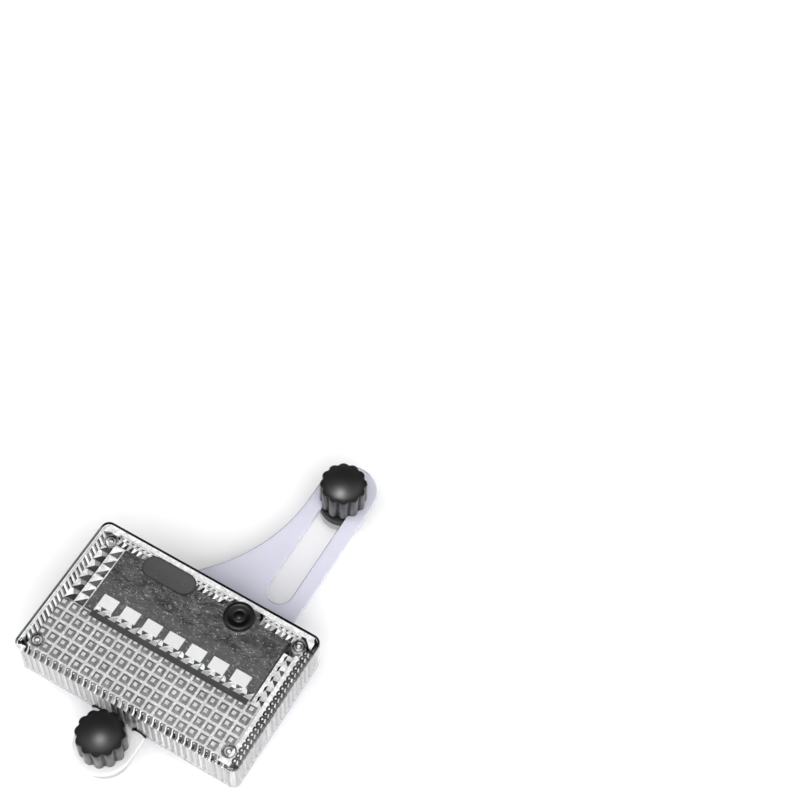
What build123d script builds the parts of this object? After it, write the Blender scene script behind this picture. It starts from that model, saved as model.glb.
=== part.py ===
from build123d import *
import os
from math import asin, copysign, cos, radians, sin

# Wheel light for bicycle spokes. Millimetres, +Z up, the lens face looking up.
# The origin is under the middle of the overall outline, on the plane of the clamp undersides.
# X runs along the row of lamps, Y from the fixed lug towards the slotted arm.

# Case
case_length = 96.0
case_width = 60.0
shell_depth = 17.0
corner_radius = 3.5
smallest_corner = 0.5
face_edge_radius = 0.9
face_thick = 1.6
wall_thick = 1.7
flute_depth = 0.9
facet_pitch = 4.53
flute_pitch = facet_pitch / 2

# Back plate with its lug and arm
plate_thick = 2.4
plate_inset = 0.3
lug_reach = 21.4
lug_width = 22.6
lug_x = -2.5
lug_hole_radius = 3.6
arm_reach = 77.0
arm_width = 22.8
arm_x = 19.6
arm_flare_radius = 69.0
arm_flare_start = 10.6
slot_width = 10.6
slot_near_gap = 9.6
arch_width = 5.6
arch_height = 2.0
arch_fit = 0.15
arch_spread = 17.5

# Case screws, gasket and screw posts
post_inset = 6.6
post_radius = 2.9
screw_radius = 1.2
screw_length = 9.0
screw_fit = 0.05
head_radius = 2.3
head_height = 1.4
head_fit = 0.1
recess_width = 0.6
recess_depth = 0.8
recess_share = 0.6
gasket_width = 0.8
gasket_height = 0.5
gasket_inset = 0.75
gasket_fit = 0.05

# Thumb knobs
knob_radius = 9.3
knob_root_radius = 8.35
knob_skirt = 11.8
dome_height = 2.6
lobe_count = 12
lobe_radius = 2.0
knob_wall = 1.5
knob_roof = 2.4
hub_radius = 5.0
knob_gap = 0.1
insert_radius = 3.4
insert_length = 7.0
knob_turn_arm = 1.0
knob_turn_lug = 25.0

# Spoke clamps under the plate
bolt_radius = 2.5
bolt_fit = 0.05
bolt_hole_fit = 0.15
bolt_end_room = 0.5
bolt_head_across = 8.0
bolt_head_height = 2.6
disc_radius = 9.4
disc_thick = 4.4
disc_rim = 0.6
clamp_gap = 0.2
pad_thick = 3.4
arm_pad_radius = 9.3
lug_pad_radius = 7.0
guide_fit = 0.1
guide_height = 2.2
spoke_radius = 1.0
spoke_offset = 4.4
arm_clamp_back = 3.8

# Lamps, mask and reflector under the lens
lamp_count = 7
window_length = 6.7
window_width = 7.4
window_fit = 0.05
window_end_gap = 4.1
window_near_rim = 0.4
mask_left_gap = 13.0
mask_right_gap = 10.4
mask_far_gap = 6.0
mask_gap = 0.5
mask_thick = 1.1
mask_wall = 0.8
mask_near_lip = 0.3
badge_length = 22.4
badge_width = 9.0
badge_height = 0.3
badge_mask_reach = 20.3
badge_far_gap = 7.4
lamp_size = 5.0
lamp_height = 1.4
lamp_well_radius = 1.9
lamp_well_depth = 0.35
panel_rows = 5
panel_left_gap = 3.9
panel_right_gap = 6.0
panel_near_gap = 3.7
panel_base = 0.6
pyramid_height = 1.0
pyramid_foot = 3.5
pyramid_slope = 41.0
post_gap = 0.3
baffle_left_gap = 17.0
baffle_right_gap = 10.8
baffle_width = 2.2
baffle_thick = 0.3

# Cut facets moulded on the inside of the lens
facet_height = 1.2
facet_gap = 0.15
facet_tip = 0.2
left_facet_x = 3.8
left_facet_rows = 6
left_facet_columns = 2
right_facet_x = 7.9
right_facet_rows = 5
fringe_width = 3.0
fringe_far_gap = 2.75

# Circuit board and what is on it
board_overhang = 0.7
board_thick = 1.0
board_near_gap = 21.0
board_far_gap = 5.0
board_screw_radius = 0.9
board_screw_inset = 3.9
board_screw_length = 4.0
board_screw_head = 1.6
board_screw_head_height = 0.7
board_screw_recess = 0.35
board_screw_recess_width = 0.3
chip_length = 8.6
chip_width = 5.4
chip_height = 1.5
chip_x = -4.0
chip_far_gap = 15.0
chip_leg_count = 7
chip_leg_pitch = 1.0
chip_leg_width = 0.4
chip_leg_reach = 0.9
chip_leg_height = 0.5
resistor_length = 2.0
resistor_width = 1.2
resistor_height = 0.6
resistor_row_gap = 6.8
capacitor_radius = 2.5
capacitor_height = 6.0
capacitor_pitch = 6.0
capacitor_tray_gap = 2.2
capacitor_count = 2
sensor_radius = 2.0
sensor_length = 10.0
sensor_tray_gap = 1.2
sensor_gap = 0.05

# Push button
button_mask_reach = 20.6
button_far_gap = 8.6
button_radius = 5.7
button_fit = 0.3
button_proud = 1.6
button_wall = 1.0
button_flange = 0.6
button_flange_thick = 0.6
button_flange_gap = 0.25
button_ring_width = 1.9
button_recess = 0.8
button_nipple_radius = 2.3
button_nipple_height = 0.5
button_travel = 0.5
button_flange_fit = 0.5
switch_size = 6.0
switch_height = 2.5
switch_stem_radius = 1.7
switch_stem_fit = 0.05
switch_stem_proud = 0.6
switch_stem_bury = 0.8
switch_well_room = 0.3

# Battery tray, cells and contacts
cell_radius = 5.15
cell_length = 43.7
cell_tip_radius = 1.9
cell_tip_length = 0.8
cell_floor_gap = 0.15
cell_side_gap = 0.15
cell_count = 3
tray_wall = 1.4
tray_rib = 0.8
tray_roof = 0.6
tray_roof_gap = 0.15
tray_x = 3.0
tray_far_gap = 5.9
ear_size = 5.0
ear_thick = 2.8
tray_rib_inset = 2.8
tray_floor_gap = 0.1
spring_room = 4.6
contact_thick = 0.3
contact_width = 7.0
contact_height = 8.0
tab_width = 2.0
tab_proud = 0.5
tab_fit = 0.05
spring_wire_radius = 0.25
spring_radius_large = 3.2
spring_radius_small = 1.8
spring_turns = 3

# Levels, from the clamp undersides up
plate_bottom = disc_thick + clamp_gap + pad_thick
plate_top = plate_bottom + plate_thick
face_top = plate_top + shell_depth
face_under = face_top - face_thick
spoke_level = disc_thick + clamp_gap / 2
mask_top = face_under - mask_gap
mask_under = mask_top - mask_thick
cell_level = plate_top + cell_floor_gap + cell_radius
tray_roof_under = cell_level + cell_radius + tray_roof_gap
board_under = tray_roof_under + tray_roof
board_top = board_under + board_thick
panel_top = face_under - baffle_thick
panel_under = panel_top - pyramid_height - panel_base

# Places in the plan
case_y = (lug_reach - arm_reach) / 2
near_edge = case_y - case_width / 2
far_edge = case_y + case_width / 2
lug_radius = lug_width / 2
lug_y = near_edge - lug_reach + lug_radius
arm_radius = arm_width / 2
arm_end_y = far_edge + arm_reach - arm_radius
arm_clamp_y = arm_end_y - arm_clamp_back
slot_near_y = far_edge + slot_near_gap + slot_width / 2

# Panel, baffle, mask, lamps and button in the plan
panel_columns = int((case_length - panel_left_gap - panel_right_gap) / facet_pitch)
panel_length = panel_columns * facet_pitch
panel_width = panel_rows * facet_pitch
panel_x = panel_left_gap + (panel_length - case_length) / 2
panel_near = near_edge + panel_near_gap
baffle_length = case_length - baffle_left_gap - baffle_right_gap
baffle_x = (baffle_left_gap - baffle_right_gap) / 2
baffle_y = panel_near + panel_width - baffle_width / 2
mask_length = case_length - mask_left_gap - mask_right_gap
mask_x = (mask_left_gap - mask_right_gap) / 2
mask_near = panel_near + panel_width + mask_near_lip
mask_far = far_edge - mask_far_gap
lamp_pitch = (mask_length - 2 * window_end_gap - window_length) / (lamp_count - 1)
lamp_row_y = mask_near + window_near_rim + window_width / 2
badge_x = mask_x - mask_length / 2 + badge_mask_reach
badge_y = far_edge - badge_far_gap
button_x = mask_x + mask_length / 2 - button_mask_reach
button_y = far_edge - button_far_gap

# Board, tray and cells in the plan
board_length = mask_length + 2 * board_overhang
board_width = case_width - board_near_gap - board_far_gap
board_y = far_edge - board_far_gap - board_width / 2
cell_pitch = 2 * (cell_radius + cell_side_gap) + tray_rib
tray_room = cell_length + cell_tip_length + spring_room + 2 * contact_thick
tray_room_width = cell_count * cell_pitch - tray_rib
tray_half_length = tray_room / 2 + tray_wall
tray_y = far_edge - tray_far_gap - tray_wall - tray_room_width / 2


def save(node, *solids):
    """Write the solids of one node to its own file."""
    shape = solids[0] if len(solids) == 1 else Compound(children=list(solids))
    shape.label = node
    export_step(shape, os.path.join("parts", node + ".step"))


def block(length, width, bottom, top, x=0.0, y=0.0):
    """A box between two levels, centred on x, y."""
    return Pos(x, y, (bottom + top) / 2) * Box(length, width, top - bottom)


def rod(radius, bottom, top, x=0.0, y=0.0):
    """An upright cylinder between two levels."""
    return Pos(x, y, (bottom + top) / 2) * Cylinder(radius, top - bottom)


def turned(points, x=0.0, y=0.0):
    """A body of revolution about an upright axis, from radius and height pairs."""
    outline = make_face(Polyline(*[(r, 0, z) for r, z in points], close=True))
    return Pos(x, y, 0) * revolve(outline, Axis.Z)


def case_outline(inset):
    """The rounded outline of the case, drawn in by the inset."""
    radius = max(corner_radius - inset, smallest_corner)
    return RectangleRounded(case_length - 2 * inset, case_width - 2 * inset, radius)


def corner_places():
    """The four screw axes."""
    dx = case_length / 2 - post_inset
    dy = case_width / 2 - post_inset
    return [(sx * dx, case_y + sy * dy) for sx in (-1, 1) for sy in (-1, 1)]


def lamp_places():
    """The centres of the lamps, in a row along X."""
    first = mask_x - (lamp_count - 1) / 2 * lamp_pitch
    return [(first + i * lamp_pitch, lamp_row_y) for i in range(lamp_count)]


def fluted_side(half_run, half_across, turn):
    """Zigzag points of one inner wall, from its left end, turned to its side of the case."""
    run = 2 * (half_run - corner_radius)
    count = round(run / flute_pitch)
    step = run / count
    points = []
    for i in range(count):
        along = -run / 2 + i * step
        points.append(Vector(along, -half_across))
        points.append(Vector(along + step / 2, -half_across + flute_depth))
    points.append(Vector(run / 2, -half_across))
    return [p.rotate(Axis.Z, turn) for p in points]


def cavity_outline():
    """The inner outline of the shell, with upright flutes along its walls."""
    half_x = case_length / 2 - wall_thick
    half_y = case_width / 2 - wall_thick
    points = fluted_side(half_x, half_y, 0) + fluted_side(half_y, half_x, 90)
    points += fluted_side(half_x, half_y, 180) + fluted_side(half_y, half_x, 270)
    return make_face(Polyline(*points, close=True))


def arch(width, height, bottom, depth, x, y):
    """A low arch of circular section that runs along Y, standing on a level."""
    radius = width * width / (8 * height) + height / 2
    barrel = Pos(x, y, bottom + height - radius) * Rot(90, 0, 0) * Cylinder(radius, depth)
    return barrel & block(width, depth, bottom, bottom + height, x, y)


def facet(length, width, x, y):
    """One four-sided facet that hangs from the underside of the lens face."""
    foot = Pos(x, y, face_under) * Rectangle(length - facet_gap, width - facet_gap)
    ridge = max(length - width, 0.0) + facet_tip
    keel = max(width - length, 0.0) + facet_tip
    crest = Pos(x, y, face_under - facet_height) * Rectangle(ridge, keel)
    return loft([foot.face(), crest.face()])


def button_relief_radius():
    """Room that the lens and the mask leave round the button's flange."""
    return button_radius + button_flange + button_flange_fit


def lens_facets():
    """The strips of cut facets beside the lamps and the fringe along the far edge."""
    first_row_y = lamp_row_y - window_width / 2
    facets = []
    for row in range(left_facet_rows):
        y = first_row_y + (row + 0.5) * facet_pitch
        for column in range(left_facet_columns):
            x = -case_length / 2 + left_facet_x + (column + 0.5) * facet_pitch
            facets.append(facet(facet_pitch, facet_pitch, x, y))
    for row in range(right_facet_rows):
        y = first_row_y + (row + 0.5) * facet_pitch
        facets.append(facet(facet_pitch, facet_pitch, case_length / 2 - right_facet_x, y))
    fringe_y = far_edge - fringe_far_gap - fringe_width / 2
    fringe_count = int(mask_length / flute_pitch)
    for i in range(fringe_count):
        x = mask_x + (i - (fringe_count - 1) / 2) * flute_pitch
        beside_badge = abs(x - badge_x) > (badge_length + flute_pitch) / 2
        beside_button = abs(x - button_x) > button_relief_radius() + flute_pitch / 2
        if beside_badge and beside_button:
            facets.append(facet(flute_pitch, fringe_width, x, fringe_y))
    return facets


def front_lens():
    """Clear moulded shell: face, fluted walls, screw posts, button hole and lug arches."""
    shell = extrude(Pos(0, case_y, plate_top) * case_outline(0), shell_depth)
    shell = fillet(shell.faces().sort_by(Axis.Z)[-1].edges(), face_edge_radius)
    shell -= extrude(Pos(0, case_y, plate_top) * cavity_outline(), shell_depth - face_thick)
    shell += lens_facets()
    posts = [rod(post_radius, plate_top, face_under, x, y) for x, y in corner_places()]
    shell += posts
    pilot_top = plate_bottom + head_height + screw_length + screw_fit
    for x, y in corner_places():
        shell -= rod(screw_radius + screw_fit, plate_top, pilot_top, x, y)
    shell -= rod(button_radius + button_fit, face_under, face_top, button_x, button_y)
    shell -= rod(button_relief_radius(), board_top, face_under, button_x, button_y)
    for side in (-1, 1):
        x = lug_x + side * arch_spread / 2
        shell -= arch(arch_width, arch_height, plate_top, 2 * wall_thick + 2 * flute_depth, x, near_edge)
    return shell


def arm_outline():
    """The slotted arm: straight on one side, flaring in one arc on the other, with a round end."""
    left = arm_x - arm_radius
    right = arm_x + arm_radius
    root_y = far_edge - wall_thick
    flare_y = arm_end_y - arm_flare_start
    flare_angle = asin((flare_y - root_y) / arm_flare_radius)
    flare_x = left - arm_flare_radius * (1 - cos(flare_angle))
    bend_x = left - arm_flare_radius * (1 - cos(flare_angle / 2))
    bend_y = flare_y - arm_flare_radius * sin(flare_angle / 2)
    edge = Line((flare_x, root_y), (right, root_y)) + Line((right, root_y), (right, arm_end_y))
    edge += ThreePointArc((right, arm_end_y), (arm_x, arm_end_y + arm_radius), (left, arm_end_y))
    edge += Line((left, arm_end_y), (left, flare_y))
    edge += ThreePointArc((left, flare_y), (bend_x, bend_y), (flare_x, root_y))
    return make_face(edge)


def back_plate():
    """Clear plate that closes the case and carries the lug and the slotted arm."""
    outline = Pos(0, case_y) * case_outline(plate_inset)
    root = near_edge + wall_thick
    outline += Pos(lug_x, (root + lug_y) / 2) * Rectangle(lug_width, root - lug_y)
    outline += Pos(lug_x, lug_y) * Circle(lug_radius)
    outline += arm_outline()
    outline -= Pos(lug_x, lug_y) * Circle(lug_hole_radius)
    outline -= Pos(arm_x, (slot_near_y + arm_end_y) / 2) * Rectangle(slot_width, arm_end_y - slot_near_y)
    outline -= Pos(arm_x, slot_near_y) * Circle(slot_width / 2)
    outline -= Pos(arm_x, arm_end_y) * Circle(slot_width / 2)
    plate = extrude(Pos(0, 0, plate_bottom) * outline, plate_thick)
    plate -= gasket_ring(0.0)
    for x, y in corner_places():
        plate -= rod(head_radius + head_fit, plate_bottom, plate_bottom + head_height, x, y)
        plate -= rod(screw_radius + screw_fit, plate_bottom, plate_top, x, y)
    for side in (-1, 1):
        x = lug_x + side * arch_spread / 2
        tongue_y = near_edge + (plate_inset + wall_thick) / 2
        width, height = arch_width - 2 * arch_fit, arch_height - arch_fit
        plate += arch(width, height, plate_top, wall_thick - plate_inset, x, tongue_y)
    return plate


def gasket_ring(shrink):
    """Rectangular ring under the foot of the shell's wall."""
    outer = case_outline(gasket_inset + shrink)
    inner = case_outline(gasket_inset + gasket_width - shrink)
    return extrude(Pos(0, case_y, plate_top - gasket_height) * (outer - inner), gasket_height)


def cross_recess(bottom, top, width, head, x, y):
    """The crossed driver recess of a screw head, between two levels."""
    across = head * recess_share * 2
    return block(across, width, bottom, top, x, y) + block(width, across, bottom, top, x, y)


def case_screw(x, y):
    """Self-tapping screw, head down in the back plate."""
    screw = rod(head_radius, plate_bottom, plate_bottom + head_height, x, y)
    screw += rod(screw_radius, plate_bottom + head_height, plate_bottom + head_height + screw_length, x, y)
    return screw - cross_recess(plate_bottom, plate_bottom + recess_depth, recess_width, head_radius, x, y)


def lobed_outline(turn):
    """Plan of a thumb knob: a round body with finger lobes."""
    lobe_ring = knob_radius - lobe_radius
    outline = Circle(knob_root_radius)
    for i in range(lobe_count):
        angle = radians(turn + i * 360 / lobe_count)
        outline += Pos(lobe_ring * cos(angle), lobe_ring * sin(angle)) * Circle(lobe_radius)
    return outline


def thumb_knob(x, y, turn):
    """Hollow knob with a domed top and a central hub for its threaded insert."""
    bottom = plate_top + knob_gap
    top = bottom + knob_skirt + dome_height
    body = extrude(Pos(x, y, bottom) * lobed_outline(turn), knob_skirt + dome_height)
    dome_radius = (knob_radius ** 2 + dome_height ** 2) / (2 * dome_height)
    body &= Pos(x, y, top - dome_radius) * Sphere(dome_radius)
    cavity_radius = knob_root_radius - knob_wall
    ceiling = bottom + knob_skirt - knob_roof
    body -= rod(cavity_radius, bottom, ceiling, x, y) - rod(hub_radius, bottom, ceiling, x, y)
    body -= rod(insert_radius, bottom, bottom + insert_length, x, y)
    body -= rod(bolt_radius + bolt_hole_fit, bottom, bottom + insert_length + bolt_end_room, x, y)
    return body


def knob_insert(x, y):
    """Brass threaded insert moulded into a knob."""
    bottom = plate_top + knob_gap
    return rod(insert_radius, bottom, bottom + insert_length, x, y) - rod(
        bolt_radius + bolt_fit, bottom, bottom + insert_length, x, y)


def hexagon(across, bottom, top, x, y):
    """A hexagonal bolt head."""
    return extrude(Pos(x, y, bottom) * RegularPolygon(across / 2, 6, major_radius=False), top - bottom)


def clamp_bolt(x, y):
    """Bolt whose head sits in the clamp disc and whose thread turns in the knob's insert."""
    top = plate_top + knob_gap + insert_length
    return hexagon(bolt_head_across, 0.0, bolt_head_height, x, y) + rod(
        bolt_radius, bolt_head_height, top, x, y)


def spoke_groove(x, y):
    """The bore for a spoke, along X beside the bolt."""
    return Pos(x, y, spoke_level) * Rot(0, 90, 0) * Cylinder(spoke_radius, 3 * disc_radius)


def clamp_disc(x, y, groove_y):
    """Translucent clamp disc with half of the spoke bore in its upper face."""
    disc = rod(disc_radius, 0.0, disc_thick, x, y)
    disc = chamfer(disc.faces().sort_by(Axis.Z)[0].edges(), disc_rim)
    disc -= hexagon(bolt_head_across, 0.0, bolt_head_height, x, y)
    disc -= rod(bolt_radius, bolt_head_height, disc_thick, x, y)
    return disc - spoke_groove(x, groove_y)


def clamp_pad(x, y, groove_y, radius, guide_radius):
    """Rubber pad under the plate, with a guide that fits the slot or the lug's hole."""
    pad = rod(radius, disc_thick + clamp_gap, plate_bottom, x, y)
    pad += rod(guide_radius, plate_bottom, plate_bottom + guide_height, x, y)
    pad -= rod(bolt_radius + bolt_hole_fit, disc_thick, plate_top, x, y)
    return pad - spoke_groove(x, groove_y)


def reflector_panel():
    """Clear reflex panel: a sheet that carries a grid of truncated pyramids."""
    centre_y = panel_near + panel_width / 2
    base_top = panel_under + panel_base
    panel = block(panel_length, panel_width, panel_under, base_top, panel_x, centre_y)
    feet = Sketch()
    feet += [place * Rectangle(pyramid_foot, pyramid_foot)
             for place in GridLocations(facet_pitch, facet_pitch, panel_columns, panel_rows)]
    panel += extrude(Pos(panel_x, centre_y, base_top) * feet, pyramid_height, taper=pyramid_slope)
    notch = post_radius + post_gap
    for x, y in corner_places():
        outer_x = x + copysign(notch / 2, x)
        outer_y = y + copysign(notch / 2, y - case_y)
        panel -= rod(notch, panel_under, panel_top, x, y)
        panel -= block(notch, notch, panel_under, panel_top, outer_x, outer_y)
    return panel


def light_baffle():
    """Dark strip between the lamp row and the reflector grid."""
    return block(baffle_length, baffle_width, panel_top, face_under, baffle_x, baffle_y)


def lamp_mask():
    """Dark cover over the board, with a square window for each lamp and a hole for the button."""
    width, middle = mask_far - mask_near, (mask_near + mask_far) / 2
    mask = block(mask_length, width, board_top, mask_top, mask_x, middle)
    mask -= block(mask_length - 2 * mask_wall, width - 2 * mask_wall, board_top, mask_under,
                  mask_x, middle)
    for x, y in lamp_places():
        mask -= block(window_length, window_width, board_top + lamp_height, mask_top, x, y)
    return mask - rod(button_relief_radius(), board_top, mask_top, button_x, button_y)


def badge():
    """Plain oval pad against the underside of the lens face."""
    level = face_under - badge_height
    oval = Pos(badge_x, badge_y, level) * SlotOverall(badge_length, badge_width)
    return extrude(oval, badge_height)


def lamp_diffuser(x, y):
    """White diffuser that fills one window."""
    length = window_length - 2 * window_fit
    width = window_width - 2 * window_fit
    return block(length, width, board_top + lamp_height, mask_top, x, y)


def lamp(x, y):
    """Surface-mounted lamp package with a round window."""
    top = board_top + lamp_height
    body = block(lamp_size, lamp_size, board_top, top, x, y)
    return body - rod(lamp_well_radius, top - lamp_well_depth, top, x, y)


def board_screw_places():
    """The four screws that hold the board on the tray's ears."""
    dx = board_length / 2 - board_screw_inset
    dy = board_width / 2 - board_screw_inset
    return [(mask_x + sx * dx, board_y + sy * dy) for sx in (-1, 1) for sy in (-1, 1)]


def circuit_board():
    """Circuit board, drilled for its screws and slit for the battery tabs."""
    board = block(board_length, board_width, board_under, board_top, mask_x, board_y)
    for x, y in board_screw_places():
        board -= rod(board_screw_radius + screw_fit, board_under, board_top, x, y)
    return board - battery_tabs(tab_fit)


def board_screw(x, y):
    """Small pan-head screw through the board."""
    screw = rod(board_screw_radius, board_top - board_screw_length, board_top, x, y)
    screw += rod(board_screw_head, board_top, board_top + board_screw_head_height, x, y)
    head_top = board_top + board_screw_head_height
    return screw - cross_recess(head_top - board_screw_recess, head_top, board_screw_recess_width,
                                board_screw_head, x, y)


def controller_chip():
    """Controller in its moulded package."""
    lift = chip_leg_height / 2
    return block(chip_length, chip_width, board_top + lift, board_top + chip_height,
                 chip_x, far_edge - chip_far_gap)


def chip_legs():
    """The controller's soldered legs, in two rows."""
    legs = []
    for side in (-1, 1):
        y = far_edge - chip_far_gap + side * (chip_width + chip_leg_reach) / 2
        for i in range(chip_leg_count):
            x = chip_x + (i - (chip_leg_count - 1) / 2) * chip_leg_pitch
            legs.append(block(chip_leg_width, chip_leg_reach, board_top, board_top + chip_leg_height, x, y))
    return legs


def resistors():
    """One series resistor beside each lamp."""
    return [block(resistor_length, resistor_width, board_top, board_top + resistor_height,
                  x, y + resistor_row_gap) for x, y in lamp_places()]


def capacitors():
    """Round capacitors in a row along Y, under the board beside the tray."""
    x = tray_x + tray_half_length + capacitor_tray_gap + capacitor_radius
    first = board_y - (capacitor_count - 1) / 2 * capacitor_pitch
    return [rod(capacitor_radius, board_under - capacitor_height, board_under,
                x, first + i * capacitor_pitch) for i in range(capacitor_count)]


def motion_sensor():
    """Spring switch that wakes the light when the wheel turns: a metal tube under the board."""
    x = tray_x - tray_half_length - sensor_tray_gap - sensor_length / 2
    level = board_under - sensor_gap - sensor_radius
    return Pos(x, board_y, level) * Rot(0, 90, 0) * Cylinder(sensor_radius, sensor_length)


def switch_body():
    """Tact switch housing under the button."""
    top = board_top + switch_height
    body = block(switch_size, switch_size, board_top, top, button_x, button_y)
    well_bottom = top - switch_stem_bury - button_travel - switch_well_room
    return body - rod(switch_stem_radius + switch_stem_fit, well_bottom, top, button_x, button_y)


def switch_stem():
    """Stem of the tact switch."""
    top = board_top + switch_height + switch_stem_proud
    return rod(switch_stem_radius, board_top + switch_height - switch_stem_bury, top,
               button_x, button_y)


def button_cap():
    """Push button: a cup with a retaining flange, a raised rim and a small nipple."""
    flange_top = face_under - button_flange_gap
    flange_under = flange_top - button_flange_thick
    flange_radius = button_radius + button_flange
    inner = button_radius - button_wall
    stem_top = board_top + switch_height + switch_stem_proud
    top = face_top + button_proud
    floor = top - button_recess
    lift = button_nipple_height
    ring = button_radius - button_ring_width
    profile = [(0, stem_top), (inner, stem_top), (inner, flange_under), (flange_radius, flange_under),
               (flange_radius, flange_top), (button_radius, flange_top), (button_radius, top - lift),
               (button_radius - lift, top), (ring + lift, top), (ring, top - lift), (ring, floor),
               (button_nipple_radius, floor), (button_nipple_radius - lift, floor + lift),
               (0, floor + lift)]
    return turned(profile, button_x, button_y)


def cell_lines():
    """The cells' axes in Y, with the side that each tip points to."""
    return [(tray_y + (i - (cell_count - 1) / 2) * cell_pitch, 1 if i % 2 == 0 else -1)
            for i in range(cell_count)]


def battery_tray():
    """Tray that is open towards the back plate, with a rib between cells and ears for the board."""
    bottom = plate_top + tray_floor_gap
    tray = block(2 * tray_half_length, tray_room_width + 2 * tray_wall, bottom, board_under,
                 tray_x, tray_y)
    for x, y in board_screw_places():
        tray += block(ear_size, ear_size, bottom, board_under, x, y)
        tray += block(2 * abs(x - mask_x), ear_thick, board_under - ear_thick, board_under, mask_x, y)
    tray -= block(tray_room, tray_room_width, bottom, tray_roof_under, tray_x, tray_y)
    rib_length = tray_room - 2 * tray_rib_inset
    for (first, _), (second, _) in zip(cell_lines(), cell_lines()[1:]):
        tray += block(rib_length, tray_rib, bottom, tray_roof_under, tray_x, (first + second) / 2)
    for x, y in board_screw_places():
        tray -= rod(board_screw_radius + screw_fit, board_top - board_screw_length, board_under, x, y)
    return tray - battery_tabs(tab_fit)


def battery_cell(y, tip):
    """One AAA cell along X, its tip towards plus or minus X."""
    body = Cylinder(cell_radius, cell_length)
    body += Pos(0, 0, (cell_length + cell_tip_length) / 2) * Cylinder(cell_tip_radius, cell_tip_length)
    middle = tray_room / 2 - contact_thick - cell_tip_length - cell_length / 2
    return Pos(tray_x + tip * middle, y, cell_level) * Rot(0, 90 * tip, 0) * body


def contact_places():
    """Side and first and last cell line of each contact plate, in the order of the current."""
    lines = [y for y, _ in cell_lines()]
    return [(1 if i % 2 == 0 else -1, lines[max(i - 1, 0)], lines[min(i, cell_count - 1)])
            for i in range(cell_count + 1)]


def battery_tabs(fit):
    """The tabs of the two end contacts, from the plates' tops to above the board."""
    reach = (tray_room - contact_thick) / 2
    bottom = cell_level + contact_height / 2
    ends = (contact_places()[0], contact_places()[-1])
    return [block(contact_thick + 2 * fit, tab_width + 2 * fit, bottom - fit, board_top + tab_proud,
                  tray_x + side * reach, y) for side, y, _ in ends]


def battery_contacts():
    """Plates at the cells' ends: two that join neighbouring cells, and two with tabs to the board."""
    reach = (tray_room - contact_thick) / 2
    bottom = cell_level - contact_height / 2
    plates = [block(contact_thick, contact_width + last - first, bottom, bottom + contact_height,
                    tray_x + side * reach, (first + last) / 2) for side, first, last in contact_places()]
    first_tab, last_tab = battery_tabs(0.0)
    plates[0] += first_tab
    plates[-1] += last_tab
    return plates


def contact_spring(y, tip):
    """Conical coil spring behind the flat end of one cell, made of half turns that narrow."""
    half_turns = 2 * spring_turns
    rise = (spring_room - 2 * spring_wire_radius) / half_turns
    shrink = (spring_radius_large - spring_radius_small) / half_turns
    line = []
    for i in range(half_turns):
        side = 1 if i % 2 == 0 else -1
        start = Vector(side * (spring_radius_large - i * shrink), 0, spring_wire_radius + i * rise)
        end = Vector(side * ((i + 1) * shrink - spring_radius_large), 0, start.Z + rise)
        crown = (start + end) / 2 + Vector(0, side * (end - start).length / 2, 0)
        line.append(ThreePointArc(start, crown, end))
    section = Plane(origin=line[0] @ 0, z_dir=line[0] % 0) * Circle(spring_wire_radius)
    coil = sweep(section, path=Wire(line))
    outer = tray_room / 2 - contact_thick
    return Pos(tray_x - tip * outer, y, cell_level) * Rot(0, 90 * tip, 0) * coil


os.makedirs("parts", exist_ok=True)
save("front_lens", front_lens())
save("back_plate", back_plate())
save("case_gasket", gasket_ring(gasket_fit))
save("case_screws", *[case_screw(x, y) for x, y in corner_places()])
save("reflector_panel", reflector_panel())
save("light_baffle", light_baffle())
save("lamp_mask", lamp_mask())
save("oval_badge", badge())
save("lamp_diffusers", *[lamp_diffuser(x, y) for x, y in lamp_places()])
save("lamps", *[lamp(x, y) for x, y in lamp_places()])
save("circuit_board", circuit_board())
save("board_screws", *[board_screw(x, y) for x, y in board_screw_places()])
save("controller_chip", controller_chip())
save("chip_legs", *chip_legs())
save("resistors", *resistors())
save("capacitors", *capacitors())
save("motion_sensor", motion_sensor())
save("switch_body", switch_body())
save("switch_stem", switch_stem())
save("button_cap", button_cap())
save("battery_tray", battery_tray())
save("battery_cells", *[battery_cell(y, tip) for y, tip in cell_lines()])
save("battery_contacts", *battery_contacts())
save("battery_springs", *[contact_spring(y, tip) for y, tip in cell_lines()])

clamp_places = {
    "arm": (arm_x, arm_clamp_y, -spoke_offset, arm_pad_radius, slot_width / 2 - guide_fit, knob_turn_arm),
    "lug": (lug_x, lug_y, spoke_offset, lug_pad_radius, lug_hole_radius - guide_fit, knob_turn_lug),
}
for place, (x, y, groove, pad_radius, guide_radius, turn) in clamp_places.items():
    save(place + "_knob", thumb_knob(x, y, turn))
    save(place + "_knob_insert", knob_insert(x, y))
    save(place + "_bolt", clamp_bolt(x, y))
    save(place + "_clamp_disc", clamp_disc(x, y, y + groove))
    save(place + "_clamp_pad", clamp_pad(x, y, y + groove, pad_radius, guide_radius))
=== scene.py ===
import random
from math import acos, atan2, cos, hypot, pi, radians, sin, sqrt

import bmesh
import bpy
from mathutils import Matrix, Vector


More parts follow.
